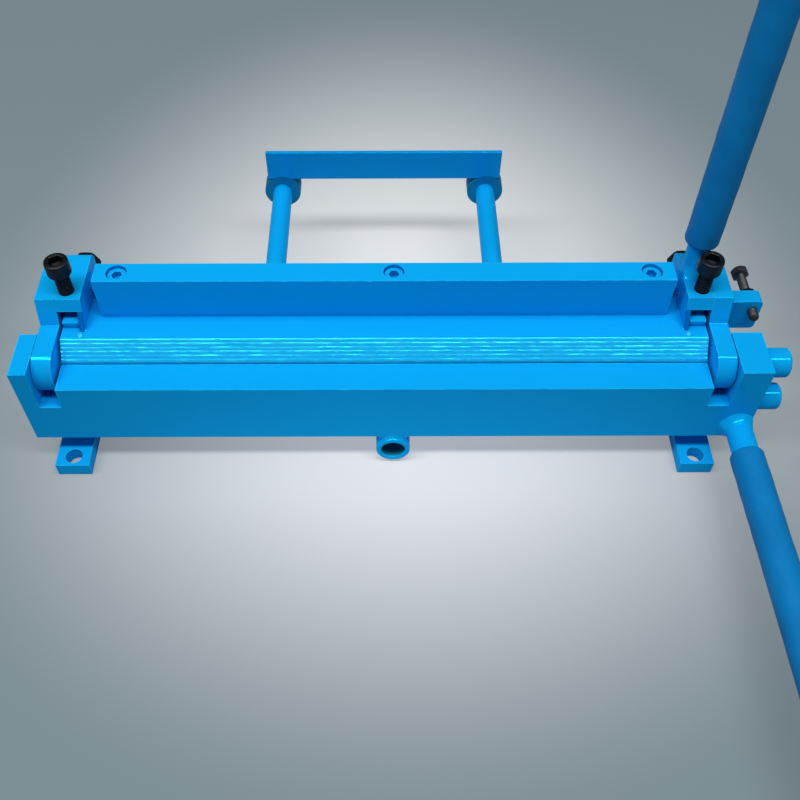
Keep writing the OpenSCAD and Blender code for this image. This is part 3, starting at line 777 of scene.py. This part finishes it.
class FOLDER_OT_adjusting_screws(bpy.types.Operator):
    """Makes the two black socket screws with their threads, knurled heads and hex sockets"""
    bl_idname = "folder.adjusting_screws"
    bl_label = "Adjusting Screws"

    def execute(self, context):
        for side in ("left", "right"):
            self.make(side)
        return {"FINISHED"}

    def make(self, side):
        """One screw, from its tip up over its head and down into its socket."""
        given = sizes()
        node = side + "_adjusting_screw"
        low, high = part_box(node)
        middle = (low + high) / 2
        place = Matrix.Translation((middle.x, middle.y, 0))
        head_r = (high.x - low.x) / 2
        neck = high.z - given.screw_head
        knurl = 0.10 * MM
        key = hexagon(given.screw_key)

        def knurled(angle):
            return head_r - knurl + knurl * math.cos(angle * RING / 3)
        knurled_head = (
            (head_r - 0.5 * MM, neck),
            (head_r - knurl, neck + 0.4 * MM),
            (knurled, neck + 0.7 * MM),
            (knurled, high.z - 1.5 * MM),
            (head_r - knurl, high.z - 1.2 * MM),
            (head_r - 0.3 * MM, high.z - 0.5 * MM),
            (head_r - 1.1 * MM, high.z),
        )
        hex_socket = (
            (given.screw_key / 2 + 0.95 * MM, high.z),
            (key, high.z - 0.4 * MM),
            (key, high.z - 5.5 * MM),
            (0.2 * MM, high.z - 6.8 * MM),
        )
        shank = thread_rings(given.screw_thread / 2, given.pitch, low.z, neck, place)
        bm = bmesh.new()
        skin(bm, shank + turned_all(knurled_head + hex_socket, place))
        finish_piece(node + "_threaded", bm, BODY_OF[node], black_oxide(), [node])


class FOLDER_OT_hex_bolts(bpy.types.Operator):
    """Makes the black hex bolts: the set bolts behind the arms and the stop bolt"""
    bl_idname = "folder.hex_bolts"
    bl_label = "Hex Bolts"

    def execute(self, context):
        given = sizes()
        low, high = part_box("arm_set_bolts")
        flats = high.z - low.z
        corner = flats / 2 / math.cos(math.radians(30))
        bm = bmesh.new()
        for x in (low.x + corner, high.x - corner):
            self.bolt(bm, Vector((x, low.y, (low.z + high.z) / 2)), high.y - low.y,
                      given.set_bolt_head, flats, given.screw_thread)
        finish_piece("arm_set_bolts_threaded", bm, BODY_OF["arm_set_bolts"],
                     black_oxide(), ["arm_set_bolts"])
        low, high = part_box("stop_bolt")
        bm = bmesh.new()
        self.bolt(bm, Vector(((low.x + high.x) / 2, low.y, (low.z + high.z) / 2)), high.y - low.y,
                  given.stop_head, high.z - low.z, given.stop_thread)
        tones = colours()
        greyed = black_oxide("grey_steel", tones.stop_steel, tones.stop_steel_worn)
        finish_piece("stop_bolt_threaded", bm, BODY_OF["stop_bolt"], greyed, ["stop_bolt"])
        return {"FINISHED"}

    def bolt(self, bm, tip, length, head, flats, thread_d):
        """A bolt that points forward, from its tip back to the end of its head."""
        place = Matrix.Translation(tip) @ ALONG_BACK @ Matrix.Rotation(math.radians(90), 4, "Z")
        outline = hexagon(flats)
        neck = length - head
        washer = 0.47 * flats
        hex_head = (
            (washer, neck - 0.02 * MM),
            (washer, neck + 0.35 * MM),
            (under(0.565 * flats, outline), neck + 0.4 * MM),
            (outline, neck + 0.9 * MM),
            (outline, length - 1.3 * MM),
            (under(0.54 * flats, outline), length - 0.7 * MM),
            (under(0.47 * flats, outline), length - 0.05 * MM),
            (0.42 * flats, length),
        )
        shank = thread_rings(thread_d / 2, 0.16 * thread_d, 0.0, neck - 0.4 * MM, place)
        skin(bm, shank + turned_all(hex_head, place))


class FOLDER_OT_grips(bpy.types.Operator):
    """Makes the two sleeve grips, a little uneven as soft sleeves are"""
    bl_idname = "folder.grips"
    bl_label = "Sleeve Grips"

    def execute(self, context):
        self.make("bend_lever_grip", bend_turn())
        self.make("clamp_lever_grip", clamp_turn())
        return {"FINISHED"}

    def make(self, node, turn):
        """One sleeve, from its mouth on the rod to its closed end."""
        low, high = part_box(node)
        across = high.x - low.x
        length = max(high.y - low.y, high.z - low.z) - 0.3 * MM
        middle = (low + high) / 2
        start = turn @ Vector((0, 0, -length / 2))
        place = Matrix.Translation(middle + start) @ turn
        radius = across / 2 - sizes().grip_wave
        bore = rod_radius(node)
        lip = radius - bore

        def wavy(r, height):
            def outline(angle):
                spot = Vector((math.cos(angle), math.sin(angle), height / (14 * MM)))
                return r + sizes().grip_wave * noise.noise(1.3 * spot)
            return outline
        rings = [turned(bore, 2.0 * MM, place), turned(bore, 0.5 * MM, place)]
        for i in range(7):
            a = math.radians(15 * i)
            rings.append(turned(wavy(bore + lip * math.sin(a), 0), lip * 0.9 * (1 - math.cos(a)), place))
        count = round(length / (2.5 * MM))
        rings += [
            turned(wavy(radius, h), h, place)
            for h in (lip + (length - lip - GRIP_CAP) * i / count for i in range(1, count + 1))
        ]
        for i in range(1, 7):
            a = math.radians(15 * i)
            end_r = radius - GRIP_CAP * (1 - math.cos(a))
            rings.append(turned(end_r, length - GRIP_CAP * (1 - math.sin(a)), place))
        bm = bmesh.new()
        skin(bm, rings)
        finish_piece(node + "_sleeve", bm, BODY_OF[node], sleeve(), [node])


class FOLDER_OT_lever_rods(bpy.types.Operator):
    """Makes the two painted lever rods with the weld flare at each root"""
    bl_idname = "folder.lever_rods"
    bl_label = "Lever Rods"

    def execute(self, context):
        self.bend_lever()
        self.clamp_lever()
        return {"FINISHED"}

    def bend_lever(self):
        """The lever whose weld spreads over the front of the right ear."""
        low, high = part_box("bend_lever_rod")
        leaf_low, leaf_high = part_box("bending_leaf")
        root = Vector(((low.x + high.x) / 2, high.y, low.z + (high.x - low.x) / 2))
        trim_low = Vector((low.x - 2 * sizes().lever_weld, low.y, leaf_low.z + SUNK))
        trim_high = Vector((leaf_high.x - SUNK, leaf_high.y, high.z))
        self.make("bend_lever", root, bend_turn(), trim_low, trim_high)

    def clamp_lever(self):
        """The lever whose weld spreads over the top of the right clamp arm."""
        low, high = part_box("clamp_lever_rod")
        grip_low, grip_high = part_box("clamp_lever_grip")
        arm_low, arm_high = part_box("right_clamp_arm")
        screw_low, screw_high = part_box("right_adjusting_screw")
        screw_back = (screw_low.y + screw_high.y + sizes().screw_thread) / 2
        root = Vector(((grip_low.x + grip_high.x) / 2, low.y + 9 * MM, low.z))
        trim_low = Vector((arm_low.x + SUNK, screw_back + 0.2 * MM, arm_low.z))
        trim_high = Vector((arm_high.x - SUNK, arm_high.y - SUNK, high.z))
        self.make("clamp_lever", root, clamp_turn(), trim_low, trim_high)

    def make(self, lever, root, turn, low, high):
        """Turns a rod from its root and trims its weld flare to a box."""
        node = lever + "_rod"
        radius = rod_radius(lever + "_grip")
        along = turn @ Vector((0, 0, 1))
        length = max((vert.co - root).dot(along) for vert in frame["nodes"][node].data.vertices)
        place = Matrix.Translation(root) @ turn
        rings = fillet_rings(radius, sizes().lever_weld, place, seed=radius / MM)
        for point in (point for ring in rings for point in ring):
            for axis in range(3):
                point[axis] = min(max(point[axis], low[axis]), high[axis])
        rings.append(turned(radius, length - 0.5 * MM, place))
        rings.append(turned(radius - 0.5 * MM, length, place))
        bm = bmesh.new()
        skin(bm, rings)
        finish_piece(node + "_painted", bm, BODY_OF[node], enamel(), [node], SOFT_CREASE)


class FOLDER_OT_welds(bpy.types.Operator):
    """Lays the painted weld beads where plates, tubes and the forming pin are joined"""
    bl_idname = "folder.welds"
    bl_label = "Weld Beads"

    def execute(self, context):
        self.handle_socket()
        self.pins()
        self.base_plates()
        self.gauge()
        self.clamp_angles()
        return {"FINISHED"}

    def lay(self, name, body, paths, radius, closed=False, base=None):
        """Makes one piece of the beads along some paths; base is the colour of a painted highlight."""
        bm = bmesh.new()
        for i, path in enumerate(paths):
            bead(bm, path, radius, sizes().weld_ripple, closed, seed=3.7 * i)
        paint = enamel("blue_enamel_bright", base) if base else enamel()
        finish_piece(name, bm, body, paint)

    def handle_socket(self):
        """Two beads beside the socket and the saddle in front."""
        low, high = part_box("handle_socket")
        leaf_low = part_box("bending_leaf")[0]
        middle = (low + high) / 2
        radius = (high.x - low.x) / 2
        axis_z = low.z + radius
        front = leaf_low.y + 1.2 * MM
        back = high.y - 1 * MM
        top = leaf_low.z - 0.2 * MM
        paths = [
            straight((x, front, top), (x, back, top))
            for x in (middle.x - 9 * MM, middle.x + 9 * MM)
        ]
        self.lay("handle_socket_welds", "leaf", paths, 0.8 * sizes().weld)
        self.saddle(Vector((middle.x, leaf_low.y, axis_z)), radius, leaf_low.y - low.y)

    def saddle(self, centre, radius, out):
        """A smooth weld that leads from the front of the leaf down to the mouth of the socket."""
        # Millimetres out from the tube, and forward as a share of the tube's overhang
        profile = ((-1.5, -0.4), (3.2, -0.4), (3.2, 0.0), (2.3, 0.04), (1.4, 0.16), (0.7, 0.36),
                   (0.3, 0.58), (0.0, 0.8), (-1.5, 0.8))
        half_width = 40
        rings = []
        for i in range(half_width + 1):
            angle = math.radians(2 * i - half_width)
            fade = max(0.05, math.cos(angle * 90 / half_width))
            ring = []
            for outward, forward in profile:
                r = radius + outward * MM * (fade if outward > 0 else 1)
                y = centre.y - out * forward * (fade if forward > 0 else 1)
                ring.append(Vector((centre.x + r * math.sin(angle), y, centre.z + r * math.cos(angle))))
            rings.append(ring)
        bm = bmesh.new()
        skin(bm, rings)
        finish_piece("handle_socket_saddle", bm, "leaf", enamel(), crease=SOFT_CREASE)

    def pins(self):
        """A bead round the root of the forming pin."""
        low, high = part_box("forming_pin")
        middle = (low + high) / 2
        ring = circle((low.x, middle.y, middle.z), (high.y - low.y) / 2 + 0.2 * MM, ALONG_X)
        self.lay("forming_pin_weld", "leaf", [ring], 0.45 * sizes().weld, True)

    def base_plates(self):
        """Beads inside the cheeks and beside the stop bracket."""
        paths = []
        bed_low, bed_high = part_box("bed_bar")
        for side in ("left", "right"):
            low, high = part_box(side + "_cheek")
            inner = high.x if side == "left" else low.x
            foot_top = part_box(side + "_foot_bar")[1].z
            front = HINGE.y + 5 * MM
            paths.append(straight((inner, front, foot_top), (inner, high.y - 3 * MM, foot_top)))
            paths.append(straight((inner, bed_high.y, bed_low.z + 2 * MM),
                                  (inner, bed_high.y, bed_high.z - 2 * MM)))
            paths.append(straight((inner, bed_low.y + 4 * MM, bed_low.z),
                                  (inner, bed_high.y - 2 * MM, bed_low.z)))
        self.lay("base_welds", "base", paths, sizes().weld)
        low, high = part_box("stop_bracket")
        paths = [
            straight((low.x, y, low.z + 1.5 * MM), (low.x, y, high.z - 1.5 * MM))
            for y in (low.y, high.y)
        ]
        self.lay("stop_bracket_welds", "base", paths, 0.6 * sizes().weld)

    def gauge(self):
        """An arc over each collar, behind the gauge plate."""
        plate_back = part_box("gauge_plate")[1].y
        half_width = 34
        paths = []
        for node in COLLARS:
            low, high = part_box(node)
            middle = (low + high) / 2
            radius = (high.x - low.x) / 2
            paths.append([
                Vector((middle.x + radius * math.sin(a), plate_back, middle.z + radius * math.cos(a)))
                for a in (math.radians(2 * i - half_width) for i in range(half_width + 1))
            ])
        self.lay("gauge_welds", "gauge", paths, 0.7 * sizes().weld)

    def clamp_angles(self):
        """A bead under each end angle, and the lump in front of it, painted bright as a highlight."""
        paths = []
        lumps = []
        for side in ("left", "right"):
            sign = -1 if side == "left" else 1
            low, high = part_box(side + "_end_angle")
            inner = high.x if sign < 0 else low.x
            paths.append(straight((inner, low.y + 1 * MM, low.z), (inner, high.y - 1 * MM, low.z)))
            root = Vector((inner + sign * 0.8 * MM, low.y - 1.4 * MM, low.z - 1.5 * MM))
            lumps.append(straight(root, root + Vector((sign * 3.6 * MM, -2.2 * MM, 0))))
        self.lay("end_angle_welds", "clamp", paths, 0.3 * sizes().weld)
        # Painted highlight: the lumps take the bright edge colour
        self.lay("end_angle_lumps", "clamp", lumps, 1.2 * sizes().weld, base=colours().paint_edge_highlight)


class FOLDER_OT_stage(bpy.types.Operator):
    """Sets the floor, the studio lights and the camera"""
    bl_idname = "folder.stage"
    bl_label = "Stage"

    def execute(self, context):
        self.floor()
        self.lights()
        self.camera()
        context.scene.view_settings.view_transform = "Standard"
        return {"FINISHED"}

    def floor(self):
        """Pale paper with a painted pool of light round the folder, darker away from it, and a painted glow where
        it is seen.
        """
        mesh = bpy.data.meshes.new("studio_floor")
        bm = bmesh.new()
        bmesh.ops.create_grid(bm, x_segments=1, y_segments=1, size=FLOOR_HALF)
        bm.to_mesh(mesh)
        bm.free()
        floor = bpy.data.objects.new("studio_floor", mesh)
        bpy.context.scene.collection.objects.link(floor)
        floor.location.z = -FLOOR_DROP
        tones = colours()
        material, tree, shader = new_material("studio_paper")
        place = add_node(tree, "ShaderNodeTexCoord")
        spread = add_node(
            tree, "ShaderNodeMapping", Vector=place.outputs["Object"],
            Location=(-0.06, -0.07, 0.0), Scale=(3.1, 3.5, 1.0))
        parts = add_node(tree, "ShaderNodeSeparateXYZ", Vector=spread.outputs["Vector"])
        behind = reckon(tree, "ShaderNodeMath", "MULTIPLY", parts.outputs["Y"], 0.60)
        deep = reckon(tree, "ShaderNodeMath", "MINIMUM", parts.outputs["Y"], behind)
        oval = add_node(tree, "ShaderNodeCombineXYZ", X=parts.outputs["X"], Y=deep)
        reach = reckon(tree, "ShaderNodeVectorMath", "LENGTH", oval.outputs["Vector"])
        # Painted light: a pool of light round the folder, fading to painted shade further out
        away = map_range(tree, reach, 0.05, 1.12, 0.0, 1.0, "SMOOTHSTEP")
        tone = blend_colour(tree, away, tones.floor, tones.floor_far_shade)
        seen = self.seen_rays(tree)
        # Painted light: for camera and glossy rays the floor glows though it is no lamp, and its lit colour is
        # dimmed, so shadows on it look paler
        glow_dim = map_range(tree, seen, 0.0, 1.0, 0.0, FLOOR_GLOW_DIM)
        glow_dimmed = blend_colour(tree, glow_dim, tone, (0.0, 0.0, 0.0))
        painted_glow = map_range(tree, seen, 0.0, 1.0, 0.0, FLOOR_PAINTED_GLOW)
        set_inputs(
            tree, shader, Base_Color=glow_dimmed, Emission_Color=tone, Emission_Strength=painted_glow,
            Roughness=0.9, Specular_IOR_Level=0.1)
        mesh.materials.append(material)

    def seen_rays(self, tree):
        """One for rays that show the floor itself, and zero for those that light the folder."""
        path = add_node(tree, "ShaderNodeLightPath")
        seen = path.outputs["Is Camera Ray"]
        for label in ("Is Glossy Ray", "Is Transmission Ray"):
            seen = reckon(tree, "ShaderNodeMath", "MAXIMUM", seen, path.outputs[label])
        return seen

    def panel(self, name, spot, size, watts):
        """A lamp that lies along X and is turned to the folder's middle line."""
        light = bpy.data.lights.new(name, "AREA")
        light.shape = "RECTANGLE"
        light.size, light.size_y = size
        light.energy = watts
        lamp = bpy.data.objects.new(name, light)
        lamp.location = spot
        lamp.rotation_euler = (math.atan2(-spot[1], spot[2] - HINGE.z), 0, 0)
        bpy.context.scene.collection.objects.link(lamp)

    def lights(self):
        """Two lamps overhead and a faint sky."""
        self.panel("overhead_panel", spot=(-0.25, 0.05, 1.5), size=(1.5, 1.1), watts=5.5)
        self.panel("long_lamp", spot=(-0.2, -0.36, 1.45), size=(2.4, 0.22), watts=23.5)
        world = bpy.data.worlds.new("studio")
        world.use_nodes = True
        sky = world.node_tree.nodes["Background"]
        set_inputs(world.node_tree, sky, Color=(0.80, 0.86, 0.92, 1.0), Strength=0.12)
        bpy.context.scene.world = world

    def camera(self):
        """The photo's own view, in front of the folder and above it."""
        given = sizes()
        data = bpy.data.cameras.new("photo_camera")
        data.lens = CAMERA_LENS
        data.sensor_width = CAMERA_SENSOR
        data.shift_x = CAMERA_SHIFT
        camera = bpy.data.objects.new("photo_camera", data)
        camera.location = HINGE + Vector((0, -given.camera_back, given.camera_up))
        camera.rotation_euler = (math.radians(90) - given.camera_pitch, 0, 0)
        camera.rotation_euler.rotate_axis("Z", given.camera_roll)
        bpy.context.scene.collection.objects.link(camera)
        bpy.context.scene.camera = camera


class FOLDER_PT_panel(bpy.types.Panel):
    """Lists the steps that finish the folder"""
    bl_idname = "FOLDER_PT_panel"
    bl_label = "Sheet Metal Folder"
    bl_space_type = "VIEW_3D"
    bl_region_type = "UI"
    bl_category = "Folder"

    def draw(self, context):
        for step in STEPS:
            self.layout.operator(step.bl_idname)


STEPS = (
    FOLDER_OT_plates, FOLDER_OT_round_parts, FOLDER_OT_clamp_plate, FOLDER_OT_black_parts,
    FOLDER_OT_adjusting_screws, FOLDER_OT_hex_bolts, FOLDER_OT_grips, FOLDER_OT_lever_rods,
    FOLDER_OT_welds, FOLDER_OT_stage,
)
CLASSES = (FolderColours, FolderSizes, *STEPS, FOLDER_PT_panel)


def register():
    for cls in CLASSES:
        bpy.utils.register_class(cls)
    bpy.types.Scene.folder_colours = bpy.props.PointerProperty(type=FolderColours)
    bpy.types.Scene.folder_sizes = bpy.props.PointerProperty(type=FolderSizes)


def unregister():
    del bpy.types.Scene.folder_sizes
    del bpy.types.Scene.folder_colours
    for cls in reversed(CLASSES):
        bpy.utils.unregister_class(cls)


def main():
    register()
    bpy.ops.folder.plates()
    bpy.ops.folder.round_parts()
    bpy.ops.folder.clamp_plate()
    bpy.ops.folder.black_parts()
    bpy.ops.folder.adjusting_screws()
    bpy.ops.folder.hex_bolts()
    bpy.ops.folder.grips()
    bpy.ops.folder.lever_rods()
    bpy.ops.folder.welds()
    bpy.ops.folder.stage()


if __name__ == "__main__":
    main()
